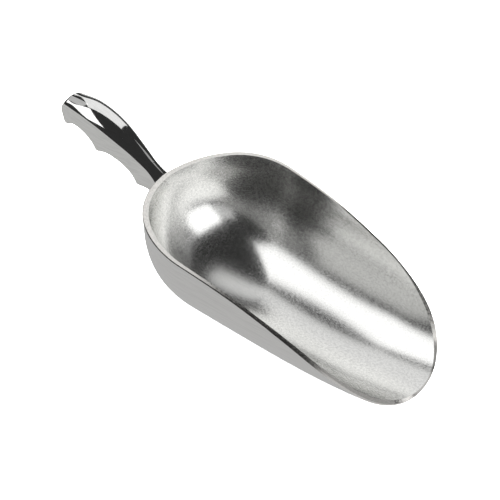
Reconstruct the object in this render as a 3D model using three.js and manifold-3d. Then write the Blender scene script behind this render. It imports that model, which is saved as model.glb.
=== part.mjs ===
// Cast aluminium ice scoop: an open trough-shaped bowl with a rounded back, and a solid grip
// handle with finger scallops. Millimetres, +Z up, lip towards +X, handle towards -X, mirror plane
// y = 0. Sizes are measured from the middle of the bowl's back, above the keel; the finished object
// is moved so that the origin is the point of the keel that it rests on.
import * as THREE from 'three';
import { ParametricGeometry } from 'three/addons/geometries/ParametricGeometry.js';
import { mergeGeometries, mergeVertices } from 'three/addons/utils/BufferGeometryUtils.js';
import Module from 'manifold-3d';

// Bowl, outside
const BOWL_LENGTH = 240;
const BACK_LENGTH = 73; // how far the rounded back reaches forward
const BACK_ROUNDNESS = [2.3, 1.87]; // superellipse exponents of the back seen from above: low, rim
const KEEL_ROUNDNESS = 2; // the same at the keel itself, where the contours are round
const HEEL_ROUNDNESS = 2.05; // superellipse exponent of the back seen from the side
const SECTION_SQUARENESS = 2.12; // superellipse exponent of the round bottom seen from the end
const HALF_WIDTHS = [[0, 67.4], [48, 65.8], [132, 61.7], [216, 56.1], [240, 54.3]];
const CENTRE_HEIGHT_RATIO = 1.1; // height of the section's widest round point over its half width
const WALL_FLARE = 0.053; // outward slope of the straight wall above the round bottom
const RIM_HEIGHTS = [[0, 81.6], [36, 85.8], [84, 82.3], [132, 72.6], [180, 53], [216, 26], [240, 0]];
const KEEL_LEVEL_TO = 120; // the keel is straight up to here, then curves up to the lip
const LIP_RISE = 14;
const LIP_CURVE = 3; // how late the keel rises
const FLOOR_SHIFT = 20; // how much further forward the rounded back begins at the keel
const REST_FLAT_DEPTH = 0.9; // material taken off the keel so that it rests flat
const REST_POINT = 90; // middle of the flat, from the back

// Bowl wall and rim
const FLOOR_THICKNESS = 2.8; // along the keel
const RIM_THICKNESS = [[0, 5.4], [30, 4.5], [73, 3], [130, 2.5], [180, 2.8], [215, 3.3], [240, 2.8]];
const RIM_BEVELS = [[0, 1.2], [40, 0.7], [90, 0.6], [150, 0.9], [200, 1.2], [240, 1.2]];
// How far the edge of the inside is set back towards the handle, which widens the rim near the lip.
const LIP_LAND = [[0, 0], [150, 0], [190, 1.2], [215, 3.2], [232, 2.4], [240, 1]];

// Handle
const HANDLE_END = -98.4;
const HANDLE_WIDTHS = [[-98.4, 7.6], [-97.4, 8.3], [-94, 9], [-88.8, 9.7], [-76.8, 11.2],
  [-60, 11.7], [-40.8, 10.5], [-21.6, 7.6], [-7.2, 6.4], [-1, 7.6], [4, 10], [12, 15]]; // half widths
const CREASE_LINE = [[-90, 108.6], [-70, 108.6], [-50, 103.8], [-30, 94.6], [-10, 81.9],
  [12, 65.7]]; // upper edge of the flat cheeks
const CROWN_RISE = 0.45; // crown height above the crease over the half width
const CROWN_FULLNESS = 0.7; // 1 is a parabola across the crown, 0.5 an ellipse
const END_HEIGHT = 94; // height of the rearmost point of the handle
const END_LENGTH = 8; // how far the rounded end reaches forward
const END_FULLNESS = 2; // superellipse exponent of the end's upper rounding
const END_BLUNTNESS = 0.98; // below 1 the end finishes in a small flat face
const HEEL_CORNER = [-94, 86.7]; // lower corner of the handle's end
const CUSPS = [[-60.4, 77.8], [-22.7, 61.7]]; // points between the finger scallops
const HANDLE_FOOT = [12, 47.5]; // where the underside runs into the bowl
const SCALLOP_DEPTH = 9.4;
const FOOT_HOLLOW = 5;
const UNDERSIDE_WIDTH = 0.94; // width of the underside over the width at the crease

const JOINT_GAP = 0.3; // clearance between the handle's root and the bowl

// Facets
const COLUMNS = 34; // from the lip to the middle of the back, on one side
const BACK_COLUMNS = 13; // how many of those are in the rounded back
const RINGS = 15; // from the keel to the rim
const HANDLE_STATIONS = 56;

const ALUMINIUM = new THREE.MeshStandardMaterial({ color: 0xb9b9b6, roughness: 0.38, metalness: 1 });
const POLISHED = new THREE.MeshStandardMaterial({ color: 0xc4c4c2, roughness: 0.12, metalness: 1 });

// Smooth curve through [x, value] pairs; straight beyond both ends.
function curveAt(pairs, x) {
  const last = pairs.length - 1;
  const rate = (i) => (pairs[i + 1][1] - pairs[i][1]) / (pairs[i + 1][0] - pairs[i][0]);
  const slope = (i) => {
    if (i === 0) return rate(0);
    if (i === last) return rate(last - 1);
    const nearness = (pairs[i][0] - pairs[i - 1][0]) / (pairs[i + 1][0] - pairs[i - 1][0]);
    return rate(i - 1) * (1 - nearness) + rate(i) * nearness;
  };
  if (x <= pairs[0][0]) return pairs[0][1] + slope(0) * (x - pairs[0][0]);
  if (x >= pairs[last][0]) return pairs[last][1] + slope(last) * (x - pairs[last][0]);
  const i = pairs.findIndex((pair) => pair[0] > x) - 1;
  const span = pairs[i + 1][0] - pairs[i][0];
  const t = (x - pairs[i][0]) / span;
  const start = (2 * t ** 3 - 3 * t ** 2 + 1) * pairs[i][1];
  const end = (3 * t ** 2 - 2 * t ** 3) * pairs[i + 1][1];
  const leaving = (t ** 3 - 2 * t ** 2 + t) * span * slope(i);
  const arriving = (t ** 3 - t ** 2) * span * slope(i + 1);
  return start + end + leaving + arriving;
}

// Third side of a superellipse quarter: 1 at 0 and 0 at 1.
function quarter(t, exponent) {
  return Math.max(1 - t ** exponent, 0) ** (1 / exponent);
}

function keelHeight(x) {
  const beyond = Math.max(x - KEEL_LEVEL_TO, 0) / (BOWL_LENGTH - KEEL_LEVEL_TO);
  return LIP_RISE * beyond ** LIP_CURVE;
}

// Where column c of the bowl stands: 0 is the lip, COLUMNS the middle of the back. `turn` is 0 in
// the trough and goes round the back to a right angle.
function columnPlace(c) {
  const troughColumns = COLUMNS - BACK_COLUMNS;
  if (c <= troughColumns) {
    const reach = Math.cos((c / troughColumns) * Math.PI / 2);
    return { x: BOWL_LENGTH - (BOWL_LENGTH - BACK_LENGTH) * (1 - reach), turn: 0 };
  }
  return { x: BACK_LENGTH, turn: ((c - troughColumns) / BACK_COLUMNS) * Math.PI / 2 };
}

// Where the rim of a column stands, from the back.
function rimPlace(c) {
  const { x, turn } = columnPlace(c);
  return x - BACK_LENGTH * Math.sin(turn) ** (2 / BACK_ROUNDNESS[1]);
}

// A point of the bowl's wall: column c, share s of the way up from the keel to the rim less
// `short`, moved `inset` into the wall.
function wallPoint(c, s, inset, short) {
  const { x, turn } = columnPlace(c);
  const rimX = rimPlace(c);
  const outerHalf = curveAt(HALF_WIDTHS, rimX);
  const half = outerHalf - inset;
  const centre = outerHalf * CENTRE_HEIGHT_RATIO;
  const depthBelow = centre - inset;
  const rim = curveAt(RIM_HEIGHTS, rimX);
  const rimTurn = rim < centre
    ? Math.acos(Math.min(1 - rim / centre, 1) ** (SECTION_SQUARENESS / 2))
    : Math.PI / 2 + (rim - centre) / outerHalf;
  const angle = Math.max(rimTurn - short / outerHalf, 0) * s;
  let height = centre + (angle - Math.PI / 2) * outerHalf;
  let y = half + (height - centre) * WALL_FLARE;
  let reach = 1;
  let depth = 0;
  if (angle < Math.PI / 2) {
    depth = Math.cos(angle) ** (2 / SECTION_SQUARENESS);
    height = centre - depthBelow * depth;
    y = half * Math.sin(angle) ** (2 / SECTION_SQUARENESS);
    reach = quarter(depth, HEEL_ROUNDNESS);
  }
  const sideRoundness = BACK_ROUNDNESS[1] + (BACK_ROUNDNESS[0] - BACK_ROUNDNESS[1]) * depth;
  const roundness = sideRoundness + (KEEL_ROUNDNESS - sideRoundness) * depth ** 8;
  const back = (BACK_LENGTH - inset) * reach * Math.sin(turn) ** (2 / roundness);
  const sideways = Math.cos(turn) ** (2 / roundness);
  const ahead = (BOWL_LENGTH - x) / (BOWL_LENGTH - BACK_LENGTH);
  const placeX = x - back + FLOOR_SHIFT * depth ** 6 * ahead ** 2;
  const bottom = Math.max(height - REST_FLAT_DEPTH, 0);
  return { x: placeX, y: y * sideways, z: bottom + keelHeight(placeX) };
}

// Sections of the bowl wall: up the outside, over the bevelled rim and down the inside.
function shellProfile() {
  const rings = Array.from({ length: RINGS + 1 }, (_, i) => i / RINGS);
  const outside = rings.map((s) => ({ s, depth: 'outside' }));
  const edge = [{ s: 1, depth: 'bevel' }];
  const inside = rings.reverse().map((s) => ({ s, depth: 'inside' }));
  return [...outside, ...edge, ...inside];
}

function bowlGeometry() {
  const profile = shellProfile();
  const place = (u, v, target) => {
    const column = COLUMNS * u;
    const { s, depth } = profile[Math.round(v * (profile.length - 1))];
    const rimX = rimPlace(column);
    const bevel = curveAt(RIM_BEVELS, rimX);
    const wall = FLOOR_THICKNESS + (curveAt(RIM_THICKNESS, rimX) - FLOOR_THICKNESS) * s ** 2;
    const inset = { outside: 0, bevel, inside: wall }[depth];
    const point = wallPoint(column, s, inset, depth === 'outside' ? bevel : 0);
    const land = depth === 'inside' ? curveAt(LIP_LAND, rimX) : 0;
    target.set(point.x - land, point.y, point.z);
  };
  return new ParametricGeometry(place, COLUMNS, profile.length - 1);
}

// The bowl as a solid block, its rim carried up by `deck`, grown by `grow`.
function blockGeometry(grow, deck) {
  const place = (u, v, target) => {
    const ring = Math.round(v * (RINGS + 2));
    const point = wallPoint(COLUMNS * u, Math.min(ring / RINGS, 1), -grow, 0);
    if (ring > RINGS + 1) target.set(BACK_LENGTH, 0, 2 * deck);
    else target.set(point.x, point.y, point.z + (ring > RINGS ? deck : 0));
  };
  return new ParametricGeometry(place, COLUMNS, RINGS + 2);
}

// Circular arc between two profile points, `rise` above the chord, as a height over x.
function arcHeight(from, to, rise, x) {
  const chord = new THREE.Vector2(to[0] - from[0], to[1] - from[1]);
  const half = chord.length() / 2;
  const radius = (half * half + rise * rise) / (2 * rise);
  const normal = new THREE.Vector2(-chord.y, chord.x).normalize();
  const centreX = from[0] + chord.x / 2 - normal.x * (radius - rise);
  const centreZ = from[1] + chord.y / 2 - normal.y * (radius - rise);
  return centreZ + Math.sqrt(Math.max(radius ** 2 - (x - centreX) ** 2, 0));
}

function undersideHeight(x) {
  if (x < HEEL_CORNER[0]) {
    const t = (HEEL_CORNER[0] - x) / (HEEL_CORNER[0] - HANDLE_END);
    return END_HEIGHT - (END_HEIGHT - HEEL_CORNER[1]) * quarter(t * END_BLUNTNESS, 2);
  }
  if (x < CUSPS[0][0]) return arcHeight(HEEL_CORNER, CUSPS[0], SCALLOP_DEPTH, x);
  if (x < CUSPS[1][0]) return arcHeight(CUSPS[0], CUSPS[1], SCALLOP_DEPTH, x);
  return arcHeight(CUSPS[1], HANDLE_FOOT, FOOT_HOLLOW, x);
}

function creaseHeight(x) {
  const top = curveAt(CREASE_LINE, x);
  const t = (HANDLE_END + END_LENGTH - x) / END_LENGTH;
  return t > 0 ? END_HEIGHT + (top - END_HEIGHT) * quarter(t * END_BLUNTNESS, END_FULLNESS) : top;
}

// Stations along the handle: crowded at the rounded end, and on both cusps.
function handleStations() {
  const stops = [HANDLE_END, HEEL_CORNER[0], CUSPS[0][0], CUSPS[1][0], HANDLE_FOOT[0]];
  const length = HANDLE_FOOT[0] - HANDLE_END;
  const stations = [HANDLE_END];
  for (let i = 1; i < stops.length; i += 1) {
    const span = stops[i] - stops[i - 1];
    const steps = Math.max(Math.round((span / length) * HANDLE_STATIONS), 5);
    for (let k = 1; k <= steps; k += 1) {
      const t = i === 1 ? (k / steps) ** 2 : k / steps;
      stations.push(stops[i - 1] + span * t);
    }
  }
  return stations;
}

// Half outline of the handle's cross-section, from the middle of the underside over the cheek to
// the top of the crown: [share of the half width, share of the cheek height].
function handleSection() {
  const outline = [[0, 0], [UNDERSIDE_WIDTH - 0.16, 0], [UNDERSIDE_WIDTH, 0.09]];
  const crownSteps = 6;
  for (let k = 0; k <= crownSteps; k += 1) {
    outline.push([Math.cos((k / crownSteps) * Math.PI / 2), 1]);
  }
  return outline;
}

function handleGeometry() {
  const stations = handleStations();
  const section = handleSection();
  const caps = stations.length + 1;
  const place = (u, v, target) => {
    const row = Math.round(v * caps);
    const x = stations[Math.min(Math.max(row - 1, 0), stations.length - 1)];
    const [w, h] = section[Math.round(u * (section.length - 1))];
    const width = Math.max(curveAt(HANDLE_WIDTHS, x), 1);
    const bottom = undersideHeight(x);
    const crease = creaseHeight(x);
    const fade = Math.min((x - HANDLE_END) / END_LENGTH, 1) ** 0.5;
    const dome = h === 1 ? CROWN_RISE * width * fade * (1 - w * w) ** CROWN_FULLNESS : 0;
    const z = bottom + (crease - bottom) * h + dome;
    if (row === 0 || row === caps) target.set(x, 0, (bottom + crease) / 2);
    else target.set(x, width * w, z);
  };
  return new ParametricGeometry(place, section.length - 1, caps);
}

const wasm = await Module();
wasm.setup();

// Closed solid from the geometry of its +Y half and that half's mirror image, leaving out the
// triangles that have shrunk to nothing.
function mirroredSolid(half) {
  half.deleteAttribute('normal');
  half.deleteAttribute('uv');
  const other = half.clone().scale(1, -1, 1);
  other.index.array.reverse();
  const merged = mergeVertices(mergeGeometries([half, other]), 1e-3);
  const corners = merged.index.array;
  const triVerts = [];
  for (let i = 0; i < corners.length; i += 3) {
    const [a, b, c] = corners.slice(i, i + 3);
    if (a !== b && b !== c && c !== a) triVerts.push(a, b, c);
  }
  return new wasm.Manifold(new wasm.Mesh({
    numProp: 3,
    vertProperties: merged.attributes.position.array,
    triVerts: new Uint32Array(triVerts),
  }));
}

function meshOf(solid, name, material) {
  const { vertProperties, triVerts } = solid.translate([-REST_POINT, 0, 0]).getMesh();
  const geometry = new THREE.BufferGeometry();
  geometry.setAttribute('position', new THREE.BufferAttribute(vertProperties, 3));
  geometry.setIndex(new THREE.BufferAttribute(triVerts, 1));
  geometry.computeVertexNormals();
  const mesh = new THREE.Mesh(geometry, material);
  mesh.name = name;
  return mesh;
}

const bowl = mirroredSolid(bowlGeometry());
const handle = mirroredSolid(handleGeometry()).subtract(mirroredSolid(blockGeometry(JOINT_GAP, 50)));

const scoop = new THREE.Group();
scoop.name = 'ice_scoop';
scoop.add(meshOf(bowl, 'bowl', ALUMINIUM));
scoop.add(meshOf(handle, 'handle', POLISHED));

export default scoop;
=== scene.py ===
"""Cast aluminium ice scoop on a plain white studio floor. Metres, +Z up, lip towards +X.

The bowl and the handle are rebuilt as fine, smooth surfaces in the shape of the CAD solids that
they replace. As in the CAD, lengths are measured from the middle of the bowl's back and heights
from the keel, and the points are then moved back by REST_POINT, to the frame's origin.
"""

import math

import bmesh
import bpy
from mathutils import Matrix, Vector


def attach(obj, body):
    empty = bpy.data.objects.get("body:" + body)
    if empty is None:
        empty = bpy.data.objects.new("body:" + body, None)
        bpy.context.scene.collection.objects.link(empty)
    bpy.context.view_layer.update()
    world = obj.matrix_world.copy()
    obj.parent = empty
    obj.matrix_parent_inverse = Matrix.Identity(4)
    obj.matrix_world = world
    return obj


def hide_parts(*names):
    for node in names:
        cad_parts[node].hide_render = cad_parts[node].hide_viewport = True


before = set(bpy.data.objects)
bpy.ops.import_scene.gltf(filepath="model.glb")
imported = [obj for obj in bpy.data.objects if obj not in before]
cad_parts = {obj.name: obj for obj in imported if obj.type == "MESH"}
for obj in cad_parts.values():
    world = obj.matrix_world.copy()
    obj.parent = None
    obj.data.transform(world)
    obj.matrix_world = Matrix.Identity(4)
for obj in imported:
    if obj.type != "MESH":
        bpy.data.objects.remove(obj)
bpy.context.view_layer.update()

# Bowl, outside
BOWL_LENGTH = 0.240
BACK_LENGTH = 0.073  # how far the rounded back reaches forward
BACK_ROUNDNESS_RIM = 1.87  # superellipse exponents of the back seen from above: at the rim,
BACK_ROUNDNESS_LOW = 2.3  # towards the bottom
KEEL_ROUNDNESS = 2  # and at the keel itself
HEEL_ROUNDNESS = 2.05  # superellipse exponent of the back seen from the side
SECTION_SQUARENESS = 2.12  # superellipse exponent of the round bottom seen from the end
HALF_WIDTHS = [(0, 0.0674), (0.048, 0.0658), (0.132, 0.0617), (0.216, 0.0561), (0.240, 0.0543)]
CENTRE_HEIGHT_RATIO = 1.1  # height of the section's widest round point over its half width
WALL_FLARE = 0.053  # outward slope of the straight wall above the round bottom
RIM_HEIGHTS = [(0, 0.0816), (0.036, 0.0858), (0.084, 0.0823), (0.132, 0.0726), (0.180, 0.053),
               (0.216, 0.026), (0.240, 0.0)]
KEEL_LEVEL_TO = 0.120  # the keel is straight up to here, then curves up to the lip
LIP_RISE = 0.014
LIP_CURVE = 3  # how late the keel rises
FLOOR_SHIFT = 0.020  # how much further forward the rounded back begins at the keel
REST_FLAT_DEPTH = 0.0009  # material taken off the keel so that it rests flat
REST_POINT = 0.090  # middle of that flat

# Bowl wall and rim
FLOOR_THICKNESS = 0.0028  # along the keel
RIM_THICKNESS = [(0, 0.0054), (0.030, 0.0045), (0.073, 0.003), (0.130, 0.0025), (0.180, 0.0028),
                 (0.215, 0.0033), (0.240, 0.0028)]
RIM_BEVELS = [(0, 0.0012), (0.040, 0.0007), (0.090, 0.0006), (0.150, 0.0009), (0.200, 0.0012),
              (0.240, 0.0012)]
# How far the edge of the inside is set back towards the handle, which widens the rim near the lip.
LIP_LAND = [(0, 0), (0.150, 0), (0.190, 0.0012), (0.215, 0.0032), (0.232, 0.0024), (0.240, 0.001)]

# Handle
HANDLE_END = -0.0984
HANDLE_WIDTHS = [(-0.0984, 0.0076), (-0.0974, 0.0083), (-0.094, 0.009), (-0.0888, 0.0097),
                 (-0.0768, 0.0112), (-0.060, 0.0117), (-0.0408, 0.0105), (-0.0216, 0.0076),
                 (-0.0072, 0.0064), (-0.001, 0.0076), (0.004, 0.010), (0.012, 0.015)]
CREASE_LINE = [(-0.090, 0.1086), (-0.070, 0.1086), (-0.050, 0.1038), (-0.030, 0.0946),
               (-0.010, 0.0819), (0.012, 0.0657)]  # upper edge of the flat cheeks
CROWN_RISE = 0.45  # crown height above the crease over the half width
CROWN_FULLNESS = 0.7  # 1 is a parabola across the crown, 0.5 an ellipse
END_HEIGHT = 0.094  # height of the rearmost point of the handle
END_LENGTH = 0.008  # how far the rounded end reaches forward
END_FULLNESS = 2  # superellipse exponent of the end's upper rounding
END_BLUNTNESS = 0.98  # below 1 the end finishes in a small flat face
HEEL_CORNER = (-0.094, 0.0867)  # lower corner of the handle's end
CUSPS = [(-0.0604, 0.0778), (-0.0227, 0.0617)]  # points between the finger scallops
HANDLE_FOOT = (0.012, 0.0475)  # where the underside runs into the bowl
HANDLE_ROOT = 0.004  # where the handle stops, inside the bowl's wall
SCALLOP_DEPTH = 0.0094
FOOT_HOLLOW = 0.005
UNDERSIDE_WIDTH = 0.94  # width of the underside over the width at the crease
UNDERSIDE_CHAMFER = (0.16, 0.09)  # its bevel: share of the half width, share of the cheek height
CREASE_POINT = 3  # which point of the cross-section lies on the crease

# Fineness of the meshes
TROUGH_COLUMNS = 110
BACK_COLUMNS = 70
RINGS = 56
HANDLE_STATIONS = 260
FEWEST_STATIONS = 16  # in each stretch between two corners of the underside
CROWN_STEPS = 24
SHARP_ANGLE = 28  # degrees between faces above which an edge stays sharp
MERGE_DISTANCE = 1e-6
SLIVER_LENGTH = 1e-7

# Surface
GRAIN_DETAIL = 2
WAVES_DETAIL = 1
NOISE_RANGE = (0.3, 0.7)  # noise values that give the lowest and the highest roughness
TINT_RANGE = (0.35, 0.6)  # noise values that give the darkest and the full colour
PIT_CELLS = 40  # cells to the metre; a pit shows where the surface passes the middle of a cell
PIT_RADIUS = 0.035  # over the size of a cell
PIT_DEPTH = 1e-4

# Camera
AZIMUTH = 38.42  # degrees round from looking along +Y
ELEVATION = 46.12
CAMERA_DISTANCE = 0.768
SENSOR_WIDTH = 36  # millimetres, like the focal length
FOCAL_LENGTH = 67.32
AIM_RIGHT = 0.0663  # where it looks, from the middle of the bowl's back, across and up the view
AIM_UP = -0.0010

# Light
PANEL_DISTANCE = 1.6
PANELS = [  # name, azimuth from +X, elevation, width and height in degrees, radiance
    ("left_panel", -147, 53, 42, 36, 1.5),
    ("rear_panel", 122, 43, 44, 46, 0.9),
    ("lip_panel", 2, 26, 44, 42, 1.6),
    ("front_panel", -36, 24, 30, 30, 0.6),
    ("side_panel", 56, 26, 36, 34, 0.35),
    ("back_panel", 168, 36, 22, 30, 0.5),
]
CEILING_LIGHT = 0.03  # what the metal sees above the horizon, between the panels
SWEEP_LIGHT = 0.62  # and below it
HORIZON_BLUR = 0.03  # sine of the angle above and below the horizon where they blend
FILL_ANGLE = 90  # how wide the light overhead is, which the metal doesn't reflect
FILL_LIGHT = 5
FLOOR_HALF = 12
FLOOR_COLOUR = (0.93, 0.93, 0.93)
FLOOR_ROUGHNESS = 0.9
FLOOR_GLOW = 0.8  # keeps the floor white out to its edge


def curve_at(pairs, x):
    """Smooth curve through (x, value) pairs; straight beyond both ends."""
    last = len(pairs) - 1

    def rate(i):
        return (pairs[i + 1][1] - pairs[i][1]) / (pairs[i + 1][0] - pairs[i][0])

    def slope(i):
        if i == 0:
            return rate(0)
        if i == last:
            return rate(last - 1)
        nearness = (pairs[i][0] - pairs[i - 1][0]) / (pairs[i + 1][0] - pairs[i - 1][0])
        return rate(i - 1) * (1 - nearness) + rate(i) * nearness

    if x <= pairs[0][0]:
        return pairs[0][1] + slope(0) * (x - pairs[0][0])
    if x >= pairs[last][0]:
        return pairs[last][1] + slope(last) * (x - pairs[last][0])
    i = next(k for k, pair in enumerate(pairs) if pair[0] > x) - 1
    span = pairs[i + 1][0] - pairs[i][0]
    t = (x - pairs[i][0]) / span
    start = (2 * t**3 - 3 * t**2 + 1) * pairs[i][1]
    end = (3 * t**2 - 2 * t**3) * pairs[i + 1][1]
    leaving = (t**3 - 2 * t**2 + t) * span * slope(i)
    arriving = (t**3 - t**2) * span * slope(i + 1)
    return start + end + leaving + arriving


def quarter(t, exponent):
    """Third side of a superellipse quarter: 1 at 0 and 0 at 1."""
    return max(1 - t**exponent, 0) ** (1 / exponent)


def keel_height(x):
    """Height of the keel's line, which is level and then rises to the lip."""
    beyond = max(x - KEEL_LEVEL_TO, 0) / (BOWL_LENGTH - KEEL_LEVEL_TO)
    return LIP_RISE * beyond**LIP_CURVE


def column_places():
    """(x, turn) of each column of the bowl's +Y side: lip first, middle of the back last."""
    places = []
    for c in range(TROUGH_COLUMNS + 1):
        reach = math.cos(c / TROUGH_COLUMNS * math.pi / 2)
        places.append((BOWL_LENGTH - (BOWL_LENGTH - BACK_LENGTH) * (1 - reach), 0))
    for c in range(1, BACK_COLUMNS + 1):
        places.append((BACK_LENGTH, c / BACK_COLUMNS * math.pi / 2))
    return places


def rim_place(place):
    """Where the rim of a column stands, from the back."""
    x, turn = place
    return x - BACK_LENGTH * math.sin(turn) ** (2 / BACK_ROUNDNESS_RIM)


def wall_point(place, share, inset, short):
    """A point of the bowl's wall, share of the way up from the keel to the rim less short, and
    moved inset into the wall."""
    x, turn = place
    rim_x = rim_place(place)
    outer_half = curve_at(HALF_WIDTHS, rim_x)
    half = outer_half - inset
    centre = outer_half * CENTRE_HEIGHT_RATIO
    rim = curve_at(RIM_HEIGHTS, rim_x)
    if rim < centre:
        rim_turn = math.acos(min(1 - rim / centre, 1) ** (SECTION_SQUARENESS / 2))
    else:
        rim_turn = math.pi / 2 + (rim - centre) / outer_half
    angle = max(rim_turn - short / outer_half, 0) * share
    if angle < math.pi / 2:
        depth = math.cos(angle) ** (2 / SECTION_SQUARENESS)
        height = centre - (centre - inset) * depth
        y = half * math.sin(angle) ** (2 / SECTION_SQUARENESS)
        reach = quarter(depth, HEEL_ROUNDNESS)
    else:
        depth = 0
        height = centre + (angle - math.pi / 2) * outer_half
        y = half + (height - centre) * WALL_FLARE
        reach = 1
    side_roundness = BACK_ROUNDNESS_RIM + (BACK_ROUNDNESS_LOW - BACK_ROUNDNESS_RIM) * depth
    roundness = side_roundness + (KEEL_ROUNDNESS - side_roundness) * depth**8
    back = (BACK_LENGTH - inset) * reach * math.sin(turn) ** (2 / roundness)
    sideways = max(math.cos(turn), 0) ** (2 / roundness)
    ahead = (BOWL_LENGTH - x) / (BOWL_LENGTH - BACK_LENGTH)
    place_x = x - back + FLOOR_SHIFT * depth**6 * ahead**2
    bottom = max(height - REST_FLAT_DEPTH, 0)
    return Vector((place_x, y * sideways, bottom + keel_height(place_x)))


def shell_profile():
    """(share, depth, material slot) up the outside, over the bevelled rim and down the inside."""
    rings = [i / RINGS for i in range(RINGS + 1)]
    outside = [(s, "outside", 0) for s in rings]
    edge = [(1, "bevel", 2)]
    inside = [(1, "inside", 2)] + [(s, "inside", 1) for s in reversed(rings[:-1])]
    return outside + edge + inside


def mirrored_object(name, rows, slots, materials):
    """A mesh from rows of points of its +Y half and their mirror image; slots gives the material
    of the faces that end at each column of the rows."""
    mesh = bpy.data.meshes.new(name)
    bm = bmesh.new()
    for side in (1, -1):
        grid = [[bm.verts.new((p.x - REST_POINT, side * p.y, p.z)) for p in row] for row in rows]
        for r in range(len(grid) - 1):
            for c in range(len(grid[r]) - 1):
                corners = [grid[r][c], grid[r + 1][c], grid[r + 1][c + 1], grid[r][c + 1]]
                if side < 0:
                    corners.reverse()
                face = bm.faces.new(corners)
                face.material_index = slots[c + 1]
                face.smooth = True
    bmesh.ops.remove_doubles(bm, verts=bm.verts, dist=MERGE_DISTANCE)
    bmesh.ops.dissolve_degenerate(bm, edges=bm.edges, dist=SLIVER_LENGTH)
    bmesh.ops.recalc_face_normals(bm, faces=bm.faces)
    bm.to_mesh(mesh)
    bm.free()
    for material in materials:
        mesh.materials.append(material)
    mesh.set_sharp_from_angle(angle=math.radians(SHARP_ANGLE))
    obj = bpy.data.objects.new(name, mesh)
    bpy.context.scene.collection.objects.link(obj)
    return obj


def bowl_rows():
    """Points of the bowl's +Y half, one row for each column of the wall."""
    profile = shell_profile()
    rows = []
    for place in column_places():
        rim_x = rim_place(place)
        bevel = curve_at(RIM_BEVELS, rim_x)
        thickening = curve_at(RIM_THICKNESS, rim_x) - FLOOR_THICKNESS
        land = curve_at(LIP_LAND, rim_x)
        row = []
        for share, depth, _ in profile:
            wall = FLOOR_THICKNESS + thickening * share**2
            inset = {"outside": 0, "bevel": bevel, "inside": wall}[depth]
            point = wall_point(place, share, inset, bevel if depth == "outside" else 0)
            if depth == "inside":
                point.x -= land
            row.append(point)
        rows.append(row)
    return rows


def arc_height(start, end, rise, x):
    """Circular arc between two profile points, rise above the chord, as a height over x."""
    chord = Vector((end[0] - start[0], end[1] - start[1]))
    half = chord.length / 2
    radius = (half * half + rise * rise) / (2 * rise)
    normal = Vector((-chord.y, chord.x)).normalized()
    centre_x = start[0] + chord.x / 2 - normal.x * (radius - rise)
    centre_z = start[1] + chord.y / 2 - normal.y * (radius - rise)
    return centre_z + math.sqrt(max(radius**2 - (x - centre_x) ** 2, 0))


def underside_height(x):
    """Height of the handle's underside: rounded heel, two finger scallops and the hollow foot."""
    if x < HEEL_CORNER[0]:
        t = (HEEL_CORNER[0] - x) / (HEEL_CORNER[0] - HANDLE_END)
        return END_HEIGHT - (END_HEIGHT - HEEL_CORNER[1]) * quarter(t * END_BLUNTNESS, 2)
    if x < CUSPS[0][0]:
        return arc_height(HEEL_CORNER, CUSPS[0], SCALLOP_DEPTH, x)
    if x < CUSPS[1][0]:
        return arc_height(CUSPS[0], CUSPS[1], SCALLOP_DEPTH, x)
    return arc_height(CUSPS[1], HANDLE_FOOT, FOOT_HOLLOW, x)


def crease_height(x):
    """Height of the edge between cheek and crown, rounded down at the handle's end."""
    top = curve_at(CREASE_LINE, x)
    t = (HANDLE_END + END_LENGTH - x) / END_LENGTH
    if t <= 0:
        return top
    return END_HEIGHT + (top - END_HEIGHT) * quarter(t * END_BLUNTNESS, END_FULLNESS)


def handle_stations():
    """x of each station: crowded at the rounded end, and on both cusps."""
    stops = [HANDLE_END, HEEL_CORNER[0], CUSPS[0][0], CUSPS[1][0], HANDLE_ROOT]
    length = stops[-1] - stops[0]
    stations = [HANDLE_END]
    for i in range(1, len(stops)):
        span = stops[i] - stops[i - 1]
        steps = max(round(span / length * HANDLE_STATIONS), FEWEST_STATIONS)
        for k in range(1, steps + 1):
            t = (k / steps) ** 2 if i == 1 else k / steps
            stations.append(stops[i - 1] + span * t)
    return stations


def handle_section():
    """Half outline of the handle, underside to crown: (share of width, of cheek height)."""
    inward, upward = UNDERSIDE_CHAMFER
    outline = [(0, 0), (UNDERSIDE_WIDTH - inward, 0), (UNDERSIDE_WIDTH, upward)]
    for k in range(CROWN_STEPS + 1):
        outline.append((math.cos(k / CROWN_STEPS * math.pi / 2), 1))
    return outline


def handle_rows():
    """Points of the handle's +Y half, one row for each station, closed by a point at each end."""
    section = handle_section()
    rows = []
    for x in handle_stations():
        width = curve_at(HANDLE_WIDTHS, x)
        bottom = underside_height(x)
        crease = crease_height(x)
        fade = min((x - HANDLE_END) / END_LENGTH, 1) ** 0.5
        row = []
        for w, h in section:
            arch = max(1 - w * w, 0) ** CROWN_FULLNESS
            dome = CROWN_RISE * width * fade * arch if h == 1 else 0
            row.append(Vector((x, width * w, bottom + (crease - bottom) * h + dome)))
        rows.append(row)
    caps = []
    for end in (rows[0], rows[-1]):
        middle = Vector((end[0].x, 0, (end[0].z + end[CREASE_POINT].z) / 2))
        caps.append([middle for _ in end])
    return [caps[0], *rows, caps[1]]


# Materials


def new_material(name, colour, metallic, roughness):
    material = bpy.data.materials.new(name)
    material.use_nodes = True
    shader = material.node_tree.nodes["Principled BSDF"]
    shader.inputs["Base Color"].default_value = (*colour, 1)
    shader.inputs["Metallic"].default_value = metallic
    shader.inputs["Roughness"].default_value = roughness
    return material, material.node_tree, shader


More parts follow.
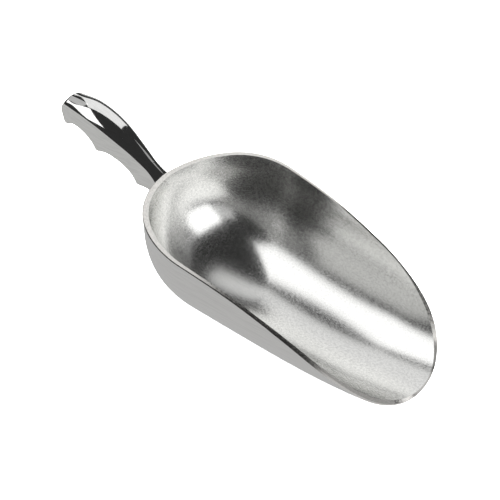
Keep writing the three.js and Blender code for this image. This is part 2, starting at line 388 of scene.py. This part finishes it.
def noise(tree, scale, detail, stretch):
    """Noise in the piece's own coordinates, in cells of about 1/scale metres. A stretch below 1
    draws the cells out along that axis."""
    place = tree.nodes.new("ShaderNodeTexCoord")
    mapping = tree.nodes.new("ShaderNodeMapping")
    mapping.inputs["Scale"].default_value = stretch
    field = tree.nodes.new("ShaderNodeTexNoise")
    field.inputs["Scale"].default_value = scale
    field.inputs["Detail"].default_value = detail
    tree.links.new(place.outputs["Object"], mapping.inputs["Vector"])
    tree.links.new(mapping.outputs["Vector"], field.inputs["Vector"])
    return field.outputs["Fac"]


def bump(tree, height, distance, under=None):
    """Bump of the given height field, laid over the normal under."""
    node = tree.nodes.new("ShaderNodeBump")
    node.inputs["Distance"].default_value = distance
    tree.links.new(height, node.inputs["Height"])
    if under:
        tree.links.new(under, node.inputs["Normal"])
    return node.outputs["Normal"]


def spread(tree, field, low, high):
    """The noise field turned into a value from low to high."""
    node = tree.nodes.new("ShaderNodeMapRange")
    node.inputs["From Min"].default_value = NOISE_RANGE[0]
    node.inputs["From Max"].default_value = NOISE_RANGE[1]
    node.inputs["To Min"].default_value = low
    node.inputs["To Max"].default_value = high
    tree.links.new(field, node.inputs["Value"])
    return node.outputs["Result"]


def pits(tree):
    """Small casting pits as a field that is 1 in the middle of a pit and 0 around it."""
    place = tree.nodes.new("ShaderNodeTexCoord")
    cells = tree.nodes.new("ShaderNodeTexVoronoi")
    cells.inputs["Scale"].default_value = PIT_CELLS
    tree.links.new(place.outputs["Object"], cells.inputs["Vector"])
    hollow = tree.nodes.new("ShaderNodeMapRange")
    hollow.inputs["From Max"].default_value = PIT_RADIUS
    hollow.inputs["To Min"].default_value = 1
    hollow.inputs["To Max"].default_value = 0
    tree.links.new(cells.outputs["Distance"], hollow.inputs["Value"])
    return hollow.outputs["Result"]


def tinted(tree, field, colour, darker):
    """The colour, darkened by up to darker where the field is low."""
    ramp = tree.nodes.new("ShaderNodeValToRGB")
    low, high = ramp.color_ramp.elements
    low.position = TINT_RANGE[0]
    low.color = (*[channel * (1 - darker) for channel in colour], 1)
    high.position = TINT_RANGE[1]
    high.color = (*colour, 1)
    tree.links.new(field, ramp.inputs["Fac"])
    return ramp.outputs["Color"]


def cast_metal(name, colour, roughness, grain, waves):
    """Cast and finished metal. grain is (scale, stretch, height, darkening) of the fine finish,
    which also varies the roughness; waves is (scale, height) of the unevenness of hand finishing."""
    grain_scale, stretch, grain_height, darkening = grain
    waves_scale, waves_height = waves
    material, tree, shader = new_material(name, colour, 1, roughness[0])
    fine = noise(tree, grain_scale, GRAIN_DETAIL, stretch)
    broad = noise(tree, waves_scale, WAVES_DETAIL, (1, 1, 1))
    pitted = bump(tree, pits(tree), -PIT_DEPTH)
    uneven = bump(tree, broad, waves_height, pitted)
    normal = bump(tree, fine, grain_height, uneven)
    tree.links.new(tinted(tree, fine, colour, darkening), shader.inputs["Base Color"])
    tree.links.new(spread(tree, fine, *roughness), shader.inputs["Roughness"])
    tree.links.new(normal, shader.inputs["Normal"])
    return material


outside_metal = cast_metal("outside", colour=(0.75, 0.745, 0.73), roughness=(0.30, 0.44),
                           grain=(700, (0.05, 1, 1), 3e-6, 0.10), waves=(30, 6e-5))
inside_metal = cast_metal("inside", colour=(0.82, 0.82, 0.805), roughness=(0.19, 0.27),
                          grain=(800, (0.7, 1, 1), 5e-6, 0.16), waves=(28, 3e-5))
edge_metal = cast_metal("edge", colour=(0.82, 0.805, 0.775), roughness=(0.16, 0.26),
                        grain=(700, (1, 1, 1), 2e-6, 0.14), waves=(60, 4e-5))
cheek_metal = cast_metal("cheek", colour=(0.77, 0.77, 0.75), roughness=(0.28, 0.40),
                         grain=(700, (0.08, 1, 1), 2e-6, 0.10), waves=(60, 4e-5))
crown_metal = cast_metal("crown", colour=(0.85, 0.85, 0.84), roughness=(0.05, 0.10),
                         grain=(500, (0.3, 1, 1), 6e-7, 0.06), waves=(40, 3e-5))

# Pieces

bowl_slots = [slot for _, _, slot in shell_profile()]
bowl = mirrored_object("bowl_shell", bowl_rows(), bowl_slots,
                       [outside_metal, inside_metal, edge_metal])
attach(bowl, "root")
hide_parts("bowl")

handle_slots = [1 if i > CREASE_POINT else 0 for i in range(len(handle_section()))]
handle = mirrored_object("handle_grip", handle_rows(), handle_slots, [cheek_metal, crown_metal])
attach(handle, "root")
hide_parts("handle")

# Floor, light and camera


def softbox(name, azimuth, elevation, wide, tall, radiance):
    """Square-on light panel: direction from the scoop, angles it covers and radiance."""
    data = bpy.data.lights.new(name, "AREA")
    data.shape = "RECTANGLE"
    data.size = 2 * PANEL_DISTANCE * math.tan(math.radians(wide / 2))
    data.size_y = 2 * PANEL_DISTANCE * math.tan(math.radians(tall / 2))
    data.energy = radiance * math.pi * data.size * data.size_y
    lamp = bpy.data.objects.new(name, data)
    flat = math.cos(math.radians(elevation))
    direction = Vector((math.cos(math.radians(azimuth)) * flat,
                        math.sin(math.radians(azimuth)) * flat,
                        math.sin(math.radians(elevation))))
    lamp.location = direction * PANEL_DISTANCE
    lamp.rotation_euler = direction.to_track_quat("Z", "Y").to_euler()
    bpy.context.scene.collection.objects.link(lamp)
    return lamp


def floor_object():
    """Flat pale floor, kept out of the metal's reflections, where SWEEP_LIGHT stands in for it."""
    mesh = bpy.data.meshes.new("floor")
    half = FLOOR_HALF
    corners = [(-half, -half, 0), (half, -half, 0), (half, half, 0), (-half, half, 0)]
    mesh.from_pydata(corners, [], [(0, 1, 2, 3)])
    material, _, shader = new_material("floor", FLOOR_COLOUR, 0, FLOOR_ROUGHNESS)
    shader.inputs["Emission Color"].default_value = (1, 1, 1, 1)
    shader.inputs["Emission Strength"].default_value = FLOOR_GLOW
    mesh.materials.append(material)
    surface = bpy.data.objects.new("floor", mesh)
    surface.visible_glossy = False
    bpy.context.scene.collection.objects.link(surface)
    return surface


def studio_world():
    """Dim ceiling above the horizon and a pale sweep below it."""
    world = bpy.data.worlds.new("studio")
    world.use_nodes = True
    tree = world.node_tree
    direction = tree.nodes.new("ShaderNodeTexCoord")
    parts = tree.nodes.new("ShaderNodeSeparateXYZ")
    horizon = tree.nodes.new("ShaderNodeMapRange")
    horizon.inputs["From Min"].default_value = -HORIZON_BLUR
    horizon.inputs["From Max"].default_value = HORIZON_BLUR
    horizon.inputs["To Min"].default_value = SWEEP_LIGHT
    horizon.inputs["To Max"].default_value = CEILING_LIGHT
    background = tree.nodes["Background"]
    background.inputs["Color"].default_value = (1, 1, 1, 1)
    tree.links.new(direction.outputs["Generated"], parts.inputs["Vector"])
    tree.links.new(parts.outputs["Z"], horizon.inputs["Value"])
    tree.links.new(horizon.outputs["Result"], background.inputs["Strength"])
    bpy.context.scene.world = world


def place_camera():
    """Camera above and to one side of the lip, aimed beside the middle of the bowl's back."""
    turn = math.radians(AZIMUTH)
    tilt = math.radians(ELEVATION)
    right = Vector((math.cos(turn), math.sin(turn), 0))
    towards = Vector((math.sin(turn) * math.cos(tilt), -math.cos(turn) * math.cos(tilt),
                      math.sin(tilt)))
    up = towards.cross(right)
    aim = right * AIM_RIGHT + up * AIM_UP - Vector((REST_POINT, 0, REST_FLAT_DEPTH))
    data = bpy.data.cameras.new("camera")
    data.sensor_width = SENSOR_WIDTH
    data.lens = FOCAL_LENGTH
    camera = bpy.data.objects.new("camera", data)
    camera.location = aim + towards * CAMERA_DISTANCE
    camera.rotation_euler = (-towards).to_track_quat("-Z", "Y").to_euler()
    bpy.context.scene.collection.objects.link(camera)
    bpy.context.scene.camera = camera


floor = floor_object()
studio_world()
for panel in PANELS:
    softbox(*panel)
top_fill = softbox("fill", 0, 90, FILL_ANGLE, FILL_ANGLE, FILL_LIGHT)
top_fill.visible_glossy = False
place_camera()
bpy.context.scene.view_settings.view_transform = "Standard"
